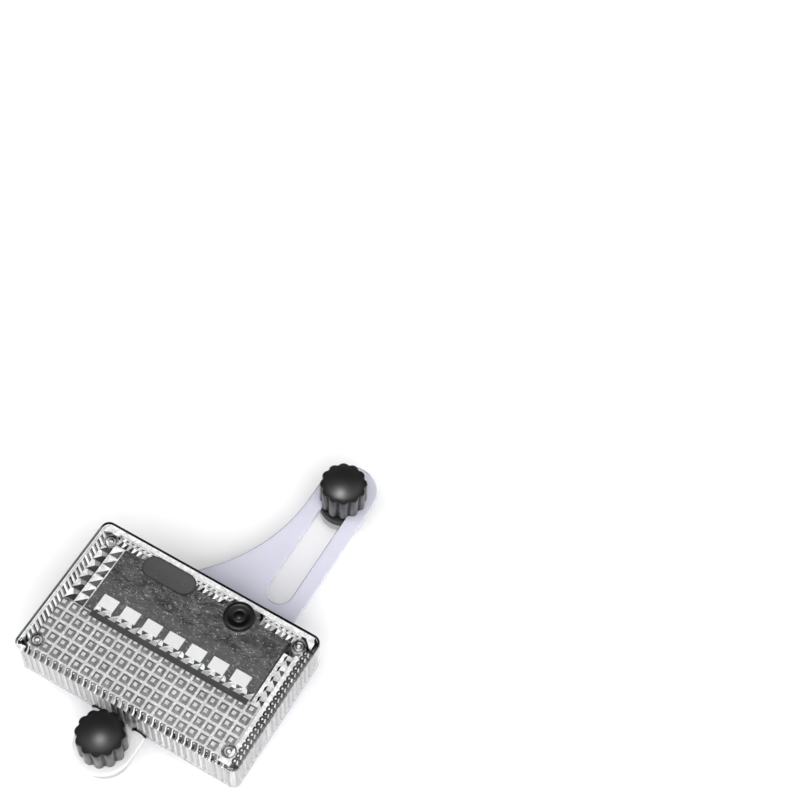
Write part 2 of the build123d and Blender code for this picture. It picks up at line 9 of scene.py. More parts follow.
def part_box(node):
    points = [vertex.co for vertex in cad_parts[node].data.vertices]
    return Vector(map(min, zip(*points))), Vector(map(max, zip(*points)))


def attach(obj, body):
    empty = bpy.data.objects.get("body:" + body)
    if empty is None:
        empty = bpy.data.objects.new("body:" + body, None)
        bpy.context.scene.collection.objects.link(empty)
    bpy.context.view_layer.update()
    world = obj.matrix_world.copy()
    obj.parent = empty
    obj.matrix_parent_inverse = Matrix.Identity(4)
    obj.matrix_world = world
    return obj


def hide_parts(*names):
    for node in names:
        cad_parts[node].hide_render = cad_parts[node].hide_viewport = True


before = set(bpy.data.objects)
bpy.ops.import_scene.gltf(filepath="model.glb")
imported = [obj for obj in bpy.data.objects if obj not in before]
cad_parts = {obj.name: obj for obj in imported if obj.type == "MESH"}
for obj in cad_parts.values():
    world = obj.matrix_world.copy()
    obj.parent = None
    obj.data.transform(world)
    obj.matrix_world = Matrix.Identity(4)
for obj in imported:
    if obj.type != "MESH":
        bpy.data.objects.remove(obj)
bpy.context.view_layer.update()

mm = 0.001

# The studio: a sheet of white paper under a white tent of cloth, with a dark flag over the far side.
# The flag keeps the clear face from mirroring the tent, and one soft box overhead lights the knobs.
studio = bpy.context.scene
studio.view_settings.view_transform = "Standard"


def tone(value, blue=0):
    """A grey, or a slightly bluish grey, from its 0 to 255 screen value, as linear light."""
    levels = [value / 255, value / 255, min(value + blue, 255) / 255]
    return tuple(((v + 0.055) / 1.055) ** 2.4 if v > 0.04 else v / 12.92 for v in levels) + (1.0,)


def node(tree, kind, **values):
    """A shader node with its settings and unlinked inputs given by name."""
    made = tree.nodes.new("ShaderNode" + kind)
    for name, value in values.items():
        if name in made.inputs and not hasattr(made, name):
            made.inputs[name].default_value = value
        else:
            setattr(made, name, value)
    return made


tent = bpy.data.worlds.new("white tent")
tent.use_nodes = True
tree = tent.node_tree
background = tree.nodes["Background"]
direction = node(tree, "TexCoord")
flag = node(tree, "VectorMath", operation="DOT_PRODUCT")
flag.inputs[1].default_value = Vector((-0.27, 0.36, 0.89)).normalized()
shadow = node(tree, "MapRange", interpolation_type="SMOOTHSTEP")
for socket, value in zip(shadow.inputs[1:5], (0.84, 0.966, 0.85, 0.10)):
    socket.default_value = value
tree.links.new(direction.outputs["Generated"], flag.inputs[0])
tree.links.new(flag.outputs["Value"], shadow.inputs["Value"])
curtain = node(tree, "VectorMath", operation="DOT_PRODUCT")
curtain.inputs[1].default_value = Vector((-0.62, 0.76, 0.12)).normalized()
dusk = node(tree, "MapRange", interpolation_type="SMOOTHSTEP")
for socket, value in zip(dusk.inputs[1:5], (0.15, 0.5, 1.0, 0.08)):
    socket.default_value = value
both = node(tree, "Math", operation="MULTIPLY")
tree.links.new(direction.outputs["Generated"], curtain.inputs[0])
tree.links.new(curtain.outputs["Value"], dusk.inputs["Value"])
tree.links.new(shadow.outputs["Result"], both.inputs[0])
tree.links.new(dusk.outputs["Result"], both.inputs[1])
seen = node(tree, "LightPath")
open_tent = node(tree, "Math", operation="MAXIMUM")
tree.links.new(both.outputs[0], open_tent.inputs[0])
tree.links.new(seen.outputs["Is Camera Ray"], open_tent.inputs[1])
tree.links.new(open_tent.outputs[0], background.inputs["Strength"])
background.inputs["Color"].default_value = (1.0, 1.0, 1.0, 1.0)
studio.world = tent


def soft_box(name, place, aim, size, watts, mirrored):
    """A square lamp with a cloth front, turned to a point: it is either mirrored or lights the surfaces."""
    light = bpy.data.lights.new(name, "AREA")
    light.size = size
    light.energy = watts
    stand = bpy.data.objects.new(name, light)
    studio.collection.objects.link(stand)
    turn = (Vector(aim) - Vector(place)).to_track_quat("-Z", "Y").to_matrix().to_4x4()
    stand.matrix_world = Matrix.Translation(Vector(place)) @ turn
    stand.visible_glossy = mirrored
    stand.visible_diffuse = not mirrored
    return stand


soft_box("overhead soft box", (-0.04, -0.12, 1.0), (0, 0, 0), 0.26, 6.0, True)
soft_box("top soft box", (0.0, 0.0, 1.6), (0, 0, 0), 0.9, 3.5, False)
soft_box("right soft box", (1.25, -1.05, 1.5), (0, 0, 0), 2.0, 40.0, False)
soft_box("left soft box", (-1.6, -0.8, 1.3), (0, 0, 0), 2.0, 20.0, False)
soft_box("front soft box", (0.1, -1.8, 1.1), (0, 0, 0), 2.0, 14.0, False)

# The camera stands where the photograph was taken from, turned a little about its own axis.
view_azimuth = radians(26.04)
view_elevation = radians(58.48)
view_roll = radians(4.67)
view_distance = 734.36 * mm
view_target = Vector((16.04, 114.9, 10.4)) * mm
focal_pixels = 1803.48
image_pixels = 800
back = Vector((sin(view_azimuth) * cos(view_elevation), -cos(view_azimuth) * cos(view_elevation),
               sin(view_elevation)))
level = Vector((cos(view_azimuth), sin(view_azimuth), 0))
upright = back.cross(level)
side = level * cos(view_roll) + upright * sin(view_roll)
top = upright * cos(view_roll) - level * sin(view_roll)
lens = bpy.data.cameras.new("camera")
lens.sensor_width = 36
lens.lens = focal_pixels * lens.sensor_width / image_pixels
camera = bpy.data.objects.new("camera", lens)
studio.collection.objects.link(camera)
stance = Matrix((side, top, back)).transposed().to_4x4()
stance.translation = view_target + view_distance * back
camera.matrix_world = stance
studio.camera = camera


def new_group(name, inputs, outputs):
    """An empty shader node group with its input and output nodes."""
    group = bpy.data.node_groups.new(name, "ShaderNodeTree")
    for label, kind in inputs:
        group.interface.new_socket(label, in_out="INPUT", socket_type=kind)
    for label, kind in outputs:
        group.interface.new_socket(label, in_out="OUTPUT", socket_type=kind)
    return group, group.nodes.new("NodeGroupInput"), group.nodes.new("NodeGroupOutput")


def link_all(tree, *pairs):
    for source, target in pairs:
        tree.links.new(source, target)


# Moulded grain: two colours drifting into each other, with a matching roughness and a fine relief.
grain, grain_in, grain_out = new_group(
    "moulded grain",
    [("Colour", "NodeSocketColor"), ("Second Colour", "NodeSocketColor"), ("Grain Size", "NodeSocketFloat"),
     ("Roughness", "NodeSocketFloat"), ("Roughness Spread", "NodeSocketFloat")],
    [("Colour", "NodeSocketColor"), ("Roughness", "NodeSocketFloat"), ("Height", "NodeSocketFloat")])
where = node(grain, "TexCoord")
broad = node(grain, "TexNoise", Detail=3.0)
fine = node(grain, "TexNoise", Detail=2.0)
finer = node(grain, "Math", operation="MULTIPLY")
finer.inputs[1].default_value = 6.0
blend = node(grain, "Mix", data_type="RGBA")
spread = node(grain, "Math", operation="MULTIPLY_ADD")
centred = node(grain, "Math", operation="SUBTRACT")
centred.inputs[1].default_value = 0.5
link_all(
    grain,
    (where.outputs["Object"], broad.inputs["Vector"]), (where.outputs["Object"], fine.inputs["Vector"]),
    (grain_in.outputs["Grain Size"], broad.inputs["Scale"]), (grain_in.outputs["Grain Size"], finer.inputs[0]),
    (finer.outputs[0], fine.inputs["Scale"]), (broad.outputs["Fac"], blend.inputs["Factor"]),
    (grain_in.outputs["Colour"], blend.inputs["A"]), (grain_in.outputs["Second Colour"], blend.inputs["B"]),
    (blend.outputs["Result"], grain_out.inputs["Colour"]),
    (fine.outputs["Fac"], centred.inputs[0]), (centred.outputs[0], spread.inputs[0]),
    (grain_in.outputs["Roughness Spread"], spread.inputs[1]), (grain_in.outputs["Roughness"], spread.inputs[2]),
    (spread.outputs[0], grain_out.inputs["Roughness"]), (fine.outputs["Fac"], grain_out.inputs["Height"]))


def finish(name, colour, second, size=300.0, roughness=0.4, spread=0.15, relief=0.01, **shader_values):
    """A material whose colour, roughness and relief come from the moulded grain."""
    material = bpy.data.materials.new(name)
    material.use_nodes = True
    tree = material.node_tree
    shader = tree.nodes["Principled BSDF"]
    skin = node(tree, "Group", node_tree=grain)
    for label, value in (("Colour", colour), ("Second Colour", second), ("Grain Size", size),
                         ("Roughness", roughness), ("Roughness Spread", spread)):
        skin.inputs[label].default_value = value
    bump = node(tree, "Bump", Strength=0.4, Distance=relief * mm)
    link_all(tree, (skin.outputs["Colour"], shader.inputs["Base Color"]),
             (skin.outputs["Roughness"], shader.inputs["Roughness"]),
             (skin.outputs["Height"], bump.inputs["Height"]), (bump.outputs["Normal"], shader.inputs["Normal"]))
    for label, value in shader_values.items():
        shader.inputs[label.replace("_", " ")].default_value = value
    return material


def dress(material, *names):
    """Give a CAD piece its finish."""
    for name in names:
        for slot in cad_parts[name].material_slots:
            slot.material = material


floor_paper = finish("floor paper", tone(246), tone(243), 20.0, 0.9, 0.05)
sheet = bmesh.new()
bmesh.ops.create_grid(sheet, x_segments=2, y_segments=2, size=0.75)
bmesh.ops.translate(sheet, verts=sheet.verts, vec=(0, 0, -3.3 * mm))
floor_mesh = bpy.data.meshes.new("floor")
sheet.to_mesh(floor_mesh)
sheet.free()
floor_mesh.materials.append(floor_paper)
floor = bpy.data.objects.new("floor", floor_mesh)
studio.collection.objects.link(floor)


def piece(name, mesh_work, material, body="lamp", stands_for=(), smooth=False):
    """Make a bmesh in millimetres into a piece that rides on a body."""
    bmesh.ops.scale(mesh_work, vec=(mm, mm, mm), verts=mesh_work.verts)
    for face in mesh_work.faces:
        face.smooth = smooth
    mesh = bpy.data.meshes.new(name)
    mesh_work.to_mesh(mesh)
    mesh_work.free()
    mesh.materials.append(material)
    made = bpy.data.objects.new(name, mesh)
    studio.collection.objects.link(made)
    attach(made, body)
    if stands_for:
        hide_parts(*stands_for)
    return made


# The back plate: one injection-moulded sheet of frosted polycarbonate with the lug and the slotted arm.
bracket = finish("frosted bracket", tone(226, 13), tone(219, 14), 120.0, 0.22, 0.1,
                 Transmission_Weight=0.35, IOR=1.5)
tree = bracket.node_tree
# Painted light: the bracket's colour is painted whiter towards the lug's end.
painted_lug_light = node(tree, "MapRange", interpolation_type="SMOOTHSTEP")
for socket, value in zip(painted_lug_light.inputs[1:5], (-0.0590, -0.0560, 1.0, 0.0)):
    socket.default_value = value
plate_place = node(tree, "TexCoord")
plate_axes = node(tree, "SeparateXYZ")
lug_tone = node(tree, "Mix", data_type="RGBA")
lug_tone.inputs["B"].default_value = tone(244)
# A painted shade: the dark tone that the far-facing rounded edges take, as a thin dark line.
painted_edge_shade = node(tree, "Attribute", attribute_name="painted_edge_shade")
edge_shade_tone = node(tree, "Mix", data_type="RGBA")
edge_shade_tone.inputs["B"].default_value = tone(52, 10)
frosted = tree.nodes["Group"]
link_all(tree, (plate_place.outputs["Object"], plate_axes.inputs[0]),
         (plate_axes.outputs["Y"], painted_lug_light.inputs["Value"]), (painted_lug_light.outputs["Result"], lug_tone.inputs["Factor"]),
         (frosted.outputs["Colour"], lug_tone.inputs["A"]), (lug_tone.outputs["Result"], edge_shade_tone.inputs["A"]),
         (painted_edge_shade.outputs["Fac"], edge_shade_tone.inputs["Factor"]),
         (edge_shade_tone.outputs["Result"], tree.nodes["Principled BSDF"].inputs["Base Color"]))
dress(finish("gasket silicone", tone(244), tone(238), 500.0, 0.5), "case_gasket")
steel = finish("zinc-plated steel", tone(190), tone(170), 700.0, 0.3, 0.2, Metallic=1.0)
dress(steel, "case_screws", "board_screws", "battery_springs")

# The spoke clamps: bolts, translucent nylon discs and rubber pads.
dress(finish("bolt steel", tone(175), tone(150), 600.0, 0.32, 0.2, Metallic=1.0), "arm_bolt", "lug_bolt")
disc_nylon = finish("grey nylon", tone(190), tone(175), 250.0, 0.35, 0.1, Transmission_Weight=0.3, IOR=1.5)
dress(disc_nylon, "arm_clamp_disc", "lug_clamp_disc")
pad_rubber = finish("pad rubber", tone(30), tone(22), 700.0, 0.55, 0.2, 0.02)
dress(pad_rubber, "arm_clamp_pad", "lug_clamp_pad")
dress(finish("insert brass", (0.62, 0.43, 0.16, 1), (0.5, 0.33, 0.1, 1), 600.0, 0.3, 0.2, Metallic=1.0),
      "arm_knob_insert", "lug_knob_insert")

# The bracket's own shape comes from the plate in the frame, with its edges rounded as a mould leaves them.
edge_round = 0.3
plate = bmesh.new()
plate.from_mesh(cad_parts["back_plate"].data)
bmesh.ops.scale(plate, vec=(1 / mm, 1 / mm, 1 / mm), verts=plate.verts)
bmesh.ops.remove_doubles(plate, verts=plate.verts, dist=0.001)
bmesh.ops.dissolve_limit(plate, angle_limit=radians(0.6), verts=plate.verts, edges=plate.edges)
plate_faces = (8.0, 10.4)
crisp = [edge for edge in plate.edges if len(edge.link_faces) == 2 and edge.calc_face_angle() > radians(45)
         and any(all(abs(vert.co.z - level) < 0.01 for vert in edge.verts) for level in plate_faces)
         and not -57.9 < edge.verts[0].co.y < 2.3]
bmesh.ops.bevel(plate, geom=crisp, offset=edge_round, segments=2, profile=0.5, affect="EDGES", material=-1)
# Rounded edge faces that turn away to the far side carry the painted shade.
painted_edge_shade = plate.faces.layers.float.new("painted_edge_shade")
for face in plate.faces:
    away = face.normal.y * 0.8 - face.normal.x * 0.6
    if 0.2 < face.normal.z < 0.97 and away > 0.2 and face.calc_center_median().y > 0:
        face[painted_edge_shade] = 0.85
piece("back_plate_moulding", plate, bracket, "lamp", ("back_plate",))

# The thumb knobs: black nylon, moulded with twelve finger lobes and a low dome.
knob_radius = 9.3
lobe_radius = 2.0
root_radius = 8.35
lobe_count = 12
knob_foot = 10.5
skirt_top = 22.3
dome_top = 24.9
knob_black = finish("knob nylon", tone(28), tone(20), 900.0, 0.36, 0.12, 0.01, Coat_Roughness=0.36,
                    Specular_IOR_Level=0.12)
tree = knob_black.node_tree
dull = node(tree, "Attribute", attribute_name="dull")
fade = node(tree, "MapRange")
for socket, value in zip(fade.inputs[3:5], (1.0, 0.0)):
    socket.default_value = value
link_all(tree, (dull.outputs["Fac"], fade.inputs["Value"]),
         (fade.outputs["Result"], tree.nodes["Principled BSDF"].inputs["Coat Weight"]))


def lobed(angle, turn):
    """The knob's outer radius in one direction."""
    step = 2 * pi / lobe_count
    off = (angle - turn + step / 2) % step - step / 2
    ring = knob_radius - lobe_radius
    across = lobe_radius ** 2 - (ring * sin(off)) ** 2
    lobe = ring * cos(off) + sqrt(across) if across > 0 else 0.0
    return max(lobe, root_radius)


def turned(rings, centre, segments=64):
    """A closed body of revolution from rings of radius and height, either of them a function."""
    body = bmesh.new()
    verts = bmesh.ops.create_circle(body, segments=segments, radius=1.0)["verts"]
    edges = list(body.edges)
    for index, (radius, height) in enumerate(rings):
        if index:
            grown = bmesh.ops.extrude_edge_only(body, edges=edges)["geom"]
            edges = [part for part in grown if isinstance(part, bmesh.types.BMEdge)]
            verts = [part for part in grown if isinstance(part, bmesh.types.BMVert)]
        for vert in verts:
            angle = atan2(vert.co.y, vert.co.x)
            reach = max(radius(angle) if callable(radius) else radius, 0.0005)
            lift = height(reach) if callable(height) else height
            vert.co = (reach * cos(angle), reach * sin(angle), lift)
    bmesh.ops.remove_doubles(body, verts=body.verts, dist=0.002)
    bmesh.ops.recalc_face_normals(body, faces=body.faces)
    bmesh.ops.translate(body, verts=body.verts, vec=(centre[0], centre[1], 0.0))
    return body


def thumb_knob(name, body_name, turn, wear):
    """A lobed knob with a crisp rim round its dome, more or less dulled by use, and a hub for the insert."""
    low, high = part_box(name)
    centre = ((low[0] + high[0]) / 2 / mm, (low[1] + high[1]) / 2 / mm)
    dome_radius = (knob_radius ** 2 + (dome_top - skirt_top) ** 2) / (2 * (dome_top - skirt_top))

    def dome(reach):
        return dome_top - dome_radius + sqrt(dome_radius ** 2 - reach ** 2)

    def outline(inset):
        return lambda angle: lobed(angle, turn) - inset

    rings = [(outline(0.25), knob_foot), (outline(0.0), knob_foot + 0.3)]
    rings += [(outline(0.0), lambda reach: dome(reach) - 0.55), (outline(0.08), lambda reach: dome(reach) - 0.3)]
    rings += [(outline(0.3), lambda reach: dome(reach) - 0.12), (outline(0.6), lambda reach: dome(reach) - 0.05)]
    rings += [(reach, dome) for reach in (7.9, 7.3, 6.4, 5.3, 4.2, 3.1, 2.0, 1.0)] + [(0.0, dome_top)]
    knob = turned(rings, centre, 192)
    dull = knob.verts.layers.float.new("dull")
    for vert in knob.verts:
        reach = hypot(vert.co.x - centre[0], vert.co.y - centre[1])
        if vert.co.z > dome(reach) - 0.2:
            vert[dull] = wear + (1.0 - wear) * min(max((reach - 6.9) / 1.3, 0.0), 1.0)
        else:
            vert[dull] = min(max((knob_radius - 0.45 - reach) / 0.35, wear), 1.0)
    under = turned([(8.05, knob_foot), (6.85, knob_foot), (6.85, 19.9), (5.0, 19.9), (5.0, knob_foot),
                    (3.4, knob_foot), (3.4, 17.5), (2.65, 17.5), (2.65, 18.0), (0.0, 18.0)], centre, 64)
    for face in under.faces:
        face.normal_flip()
    shape = bpy.data.meshes.new("hollow")
    under.to_mesh(shape)
    under.free()
    knob.from_mesh(shape)
    made = piece(name + "_moulding", knob, knob_black, body_name, (name,), True)
    sharp = made.modifiers.new("crisp edges", "EDGE_SPLIT")
    sharp.split_angle = radians(40)
    return made


thumb_knob("arm_knob", "arm_knob", radians(1), 0.0)
thumb_knob("lug_knob", "lug_knob", radians(25), 0.36)

# The battery tray with its three cells, under the circuit board.
dress(finish("tray plastic", tone(70), tone(60), 300.0, 0.5), "battery_tray")
dress(finish("cell can", tone(150), tone(120), 200.0, 0.35, 0.2, Metallic=0.6), "battery_cells")
dress(finish("tinned metal", tone(200), tone(180), 500.0, 0.3, 0.2, Metallic=1.0), "battery_contacts", "chip_legs")
dress(finish("sensor can", tone(185), tone(170), 500.0, 0.3, 0.2, Metallic=1.0), "motion_sensor")
dress(finish("board mask", (0.030, 0.040, 0.033, 1), (0.022, 0.030, 0.025, 1), 400.0, 0.4), "circuit_board")
dress(finish("chip plastic", tone(40), tone(30), 700.0, 0.5), "controller_chip")
dress(finish("resistor ceramic", tone(50), tone(200), 900.0, 0.5), "resistors")
dress(finish("capacitor sleeve", tone(60), tone(45), 300.0, 0.4), "capacitors")
dress(finish("switch plastic", tone(50), tone(40), 500.0, 0.5), "switch_body", "switch_stem")
dress(finish("lamp white", tone(240), tone(235), 500.0, 0.4), "lamps")

# The lamp mask: a black moulded cover with a window for each lamp, a baffle beside it and a plain oval pad.
mask_skin, skin_in, skin_out = new_group(
    "pebbled skin",
    [("Dark", "NodeSocketColor"), ("Light", "NodeSocketColor"), ("Spark", "NodeSocketColor")],
    [("Colour", "NodeSocketColor"), ("Roughness", "NodeSocketFloat"), ("Height", "NodeSocketFloat")])
spot = node(mask_skin, "TexCoord")
flow = node(mask_skin, "VectorMath", operation="MULTIPLY")
flow.inputs[1].default_value = (0.55, 1.0, 1.0)
drift = node(mask_skin, "TexNoise", Scale=330.0, Detail=9.0, Roughness=0.78, Distortion=0.7)
levels = node(mask_skin, "MapRange", interpolation_type="SMOOTHSTEP")
for socket, value in zip(levels.inputs[1:3], (0.40, 0.62)):
    socket.default_value = value
scratch = node(mask_skin, "TexNoise", Scale=1300.0, Detail=3.0, Roughness=0.6, Distortion=1.5)
scored = node(mask_skin, "MapRange")
for socket, value in zip(scored.inputs[1:5], (0.585, 0.69, 0.0, 0.5)):
    socket.default_value = value
etched = node(mask_skin, "Mix", data_type="RGBA")
parts = node(mask_skin, "SeparateXYZ")
calm = node(mask_skin, "MapRange", interpolation_type="SMOOTHSTEP")
for socket, value in zip(calm.inputs[1:5], (-0.0192, -0.0176, 0.72, 0.0)):
    socket.default_value = value
settled = node(mask_skin, "Mix")
settled.inputs["B"].default_value = 0.8
shading = node(mask_skin, "Mix", data_type="RGBA")
# Painted glints: scattered near-white flecks of the spark colour, as light caught on the mask.
grit = node(mask_skin, "TexVoronoi", Scale=700.0, Randomness=1.0)
glint = node(mask_skin, "MapRange")
for socket, value in zip(glint.inputs[1:5], (0.06, 0.13, 1.0, 0.0)):
    socket.default_value = value
patch = node(mask_skin, "TexNoise", Scale=110.0, Detail=2.0)
sparse = node(mask_skin, "MapRange")
for socket, value in zip(sparse.inputs[1:3], (0.56, 0.64)):
    socket.default_value = value
chosen = node(mask_skin, "Math", operation="MULTIPLY")
painted_glints = node(mask_skin, "Mix", data_type="RGBA")
gloss = node(mask_skin, "MapRange")
for socket, value in zip(gloss.inputs[1:5], (0.3, 0.7, 0.35, 0.6)):
    socket.default_value = value
link_all(
    mask_skin,
    (spot.outputs["Object"], flow.inputs[0]), (flow.outputs["Vector"], drift.inputs["Vector"]),
    (flow.outputs["Vector"], scratch.inputs["Vector"]), (scratch.outputs["Fac"], scored.inputs["Value"]),
    (scored.outputs["Result"], etched.inputs["Factor"]), (shading.outputs["Result"], etched.inputs["A"]),
    (skin_in.outputs["Spark"], etched.inputs["B"]), (spot.outputs["Object"], grit.inputs["Vector"]),
    (spot.outputs["Object"], patch.inputs["Vector"]), (drift.outputs["Fac"], levels.inputs["Value"]),
    (spot.outputs["Object"], parts.inputs[0]), (parts.outputs["Y"], calm.inputs["Value"]),
    (calm.outputs["Result"], settled.inputs["Factor"]), (levels.outputs["Result"], settled.inputs["A"]),
    (settled.outputs["Result"], shading.inputs["Factor"]), (skin_in.outputs["Dark"], shading.inputs["A"]),
    (skin_in.outputs["Light"], shading.inputs["B"]), (grit.outputs["Distance"], glint.inputs["Value"]),
    (patch.outputs["Fac"], sparse.inputs["Value"]), (glint.outputs["Result"], chosen.inputs[0]),
    (sparse.outputs["Result"], chosen.inputs[1]), (chosen.outputs[0], painted_glints.inputs["Factor"]),
    (etched.outputs["Result"], painted_glints.inputs["A"]), (skin_in.outputs["Spark"], painted_glints.inputs["B"]),
    (painted_glints.outputs["Result"], skin_out.inputs["Colour"]), (drift.outputs["Fac"], gloss.inputs["Value"]),
    (gloss.outputs["Result"], skin_out.inputs["Roughness"]), (drift.outputs["Fac"], skin_out.inputs["Height"]))


def pebbled(name, dark, light, spark):
    """A dark moulding whose surface is mottled and scratched, and flecked with painted glints."""
    material = bpy.data.materials.new(name)
    material.use_nodes = True
    tree = material.node_tree
    shader = tree.nodes["Principled BSDF"]
    skin = node(tree, "Group", node_tree=mask_skin)
    for label, value in (("Dark", dark), ("Light", light), ("Spark", spark)):
        skin.inputs[label].default_value = value
    bump = node(tree, "Bump", Strength=0.5, Distance=0.05 * mm)
    link_all(tree, (skin.outputs["Colour"], shader.inputs["Base Color"]),
             (skin.outputs["Roughness"], shader.inputs["Roughness"]),
             (skin.outputs["Height"], bump.inputs["Height"]), (bump.outputs["Normal"], shader.inputs["Normal"]))
    return material


mask_black = pebbled("mask black", tone(21), tone(85), tone(236))
dress(mask_black, "lamp_mask")
dress(finish("baffle black", tone(38), tone(52), 900.0, 0.5), "light_baffle")
badge_grey = finish("badge grey", tone(65), tone(59), 600.0, 0.5, 0.1)
badge_line = finish("badge line", tone(18), tone(14), 600.0, 0.5, 0.1)
badge_low, badge_high = [Vector(corner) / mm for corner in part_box("oval_badge")]
badge_middle = (badge_low + badge_high) / 2
badge_end = (badge_high.y - badge_low.y) / 2
badge_shift = (badge_high.x - badge_low.x) / 2 - badge_end


def oval(inset, low, high):
    """An oval pad between two levels, drawn in by the inset."""
    pad = bmesh.new()
    bmesh.ops.create_circle(pad, cap_ends=True, segments=64, radius=badge_end - inset)
    for vert in pad.verts:
        vert.co.x += badge_shift if vert.co.x > 0 else -badge_shift
    grown = bmesh.ops.extrude_face_region(pad, geom=list(pad.faces))["geom"]
    bmesh.ops.translate(pad, vec=(0, 0, high - low), verts=[part for part in grown if isinstance(part, bmesh.types.BMVert)])
    bmesh.ops.translate(pad, vec=(badge_middle.x, badge_middle.y, low), verts=pad.verts)
    bmesh.ops.recalc_face_normals(pad, faces=pad.faces)
    return pad


piece("oval_badge_rim", oval(0.0, badge_low.z, badge_low.z + 0.2), badge_line, "lamp", ("oval_badge",))
piece("oval_badge_pad", oval(0.45, badge_low.z + 0.2, badge_high.z - 0.02), badge_grey, "lamp")
dress(finish("window white", tone(231), tone(220), 400.0, 0.35), "lamp_diffusers")
button_rubber = finish("button rubber", tone(9), tone(6), 800.0, 0.36, 0.1, Specular_IOR_Level=0.32)
button_low, button_high = [Vector(corner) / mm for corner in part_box("button_cap")]
button_x, button_y = (button_low.x + button_high.x) / 2, (button_low.y + button_high.y) / 2
crown = button_high.z
button = turned([(0.0, crown - 0.30), (0.6, crown - 0.33), (1.1, crown - 0.45), (1.6, crown - 0.7),
                 (1.9, crown - 0.92), (2.3, crown - 1.0), (2.9, crown - 0.9), (3.5, crown - 0.5),
                 (3.9, crown - 0.14), (4.2, crown), (5.3, crown), (5.65, crown - 0.15), (5.85, crown - 0.5),
                 (5.85, 27.3), (0.0, 27.3)], (button_x, button_y), 96)
piece("button_cap_moulding", button, button_rubber, "button", ("button_cap",), True)
skirt = turned([(0.0, 27.28), (5.7, 27.28), (5.7, 25.5), (6.25, 25.45), (6.25, button_low.z), (0.0, button_low.z)],
               (button_x, button_y), 96)
piece("button_skirt", skirt, mask_black, "button", (), True)
bezel = turned([(5.95, 25.58), (5.95, 25.7), (7.8, 25.7), (7.8, 25.58), (5.95, 25.58)], (button_x, button_y), 96)
bmesh.ops.bisect_plane(bezel, geom=list(bezel.verts) + list(bezel.edges) + list(bezel.faces), clear_outer=True,
                       plane_co=(0.0, -0.55, 0.0), plane_no=(0.0, 1.0, 0.0))
bmesh.ops.holes_fill(bezel, edges=[edge for edge in bezel.edges if edge.is_boundary])
bmesh.ops.recalc_face_normals(bezel, faces=bezel.faces)
piece("button_bezel", bezel, mask_black, "lamp")

# Cut clear plastic: each facet's colour is painted light and shade, the brightness a reflector's facets show.
cut_look, cut_in, cut_out = new_group(
    "cut facets", [("Shade", "NodeSocketFloat"), ("Streak Size", "NodeSocketFloat"), ("Stretch", "NodeSocketVector")],
    [("Colour", "NodeSocketColor"), ("Roughness", "NodeSocketFloat"), ("Height", "NodeSocketFloat")])
place = node(cut_look, "TexCoord")
drawn = node(cut_look, "VectorMath", operation="MULTIPLY")
streaks = node(cut_look, "TexNoise", Detail=4.0, Roughness=0.6, Distortion=0.8)
vary = node(cut_look, "MapRange")
for socket, value in zip(vary.inputs[1:5], (0.25, 0.75, 0.78, 1.12)):
    socket.default_value = value
varied = node(cut_look, "Math", operation="MULTIPLY", use_clamp=True)
linear = node(cut_look, "Math", operation="POWER", use_clamp=True)
linear.inputs[1].default_value = 2.2
join = node(cut_look, "CombineColor")
polish = node(cut_look, "MapRange")
for socket, value in zip(polish.inputs[1:5], (0.3, 0.7, 0.12, 0.3)):
    socket.default_value = value
link_all(
    cut_look,
    (place.outputs["Object"], drawn.inputs[0]), (cut_in.outputs["Stretch"], drawn.inputs[1]),
    (drawn.outputs["Vector"], streaks.inputs["Vector"]), (cut_in.outputs["Streak Size"], streaks.inputs["Scale"]),
    (streaks.outputs["Fac"], vary.inputs["Value"]), (cut_in.outputs["Shade"], varied.inputs[0]),
    (vary.outputs["Result"], varied.inputs[1]), (varied.outputs[0], linear.inputs[0]),
    (linear.outputs[0], join.inputs["Red"]), (linear.outputs[0], join.inputs["Green"]),
    (linear.outputs[0], join.inputs["Blue"]), (join.outputs["Color"], cut_out.inputs["Colour"]),
    (streaks.outputs["Fac"], polish.inputs["Value"]), (polish.outputs["Result"], cut_out.inputs["Roughness"]),
    (streaks.outputs["Fac"], cut_out.inputs["Height"]))


def cut_plastic(name, streak_size, stretch=(1.0, 1.0, 1.0)):
    """Clear plastic cut into facets, with the light and shade they catch painted into each facet's colour."""
    material = bpy.data.materials.new(name)
    material.use_nodes = True
    tree = material.node_tree
    shader = tree.nodes["Principled BSDF"]
    skin = node(tree, "Group", node_tree=cut_look)
    skin.inputs["Streak Size"].default_value = streak_size
    skin.inputs["Stretch"].default_value = stretch
    shade = node(tree, "Attribute", attribute_name="shade")
    bump = node(tree, "Bump", Strength=0.3, Distance=0.03 * mm)
    shader.inputs["Specular IOR Level"].default_value = 0.2
    link_all(tree, (shade.outputs["Fac"], skin.inputs["Shade"]), (skin.outputs["Colour"], shader.inputs["Base Color"]),
             (skin.outputs["Roughness"], shader.inputs["Roughness"]),
             (skin.outputs["Height"], bump.inputs["Height"]), (bump.outputs["Normal"], shader.inputs["Normal"]))
    return material


# The reflex panel: a clear moulded sheet with a grid of truncated pyramids that lies under the face.
facet_pitch = 4.53
pyramid_foot = 3.5
pyramid_top = 1.76
panel_level = 24.5
pyramid_height = 1.0
panel_depth = 0.6
panel_columns = 19
panel_rows = 5
panel_low, panel_high = [Vector(corner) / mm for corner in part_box("reflector_panel")]
panel_plastic = cut_plastic("reflex plastic", 900.0)


def close_below(work, level):
    """Drop a wall from every open edge to a level and close the underside."""
    rim = [edge for edge in work.edges if edge.is_boundary]
    dropped = bmesh.ops.extrude_edge_only(work, edges=rim)["geom"]
    for vert in [part for part in dropped if isinstance(part, bmesh.types.BMVert)]:
        vert.co.z = level
    rim = [part for part in dropped if isinstance(part, bmesh.types.BMEdge)]
    bmesh.ops.edgeloop_fill(work, edges=rim)
    bmesh.ops.recalc_face_normals(work, faces=work.faces)


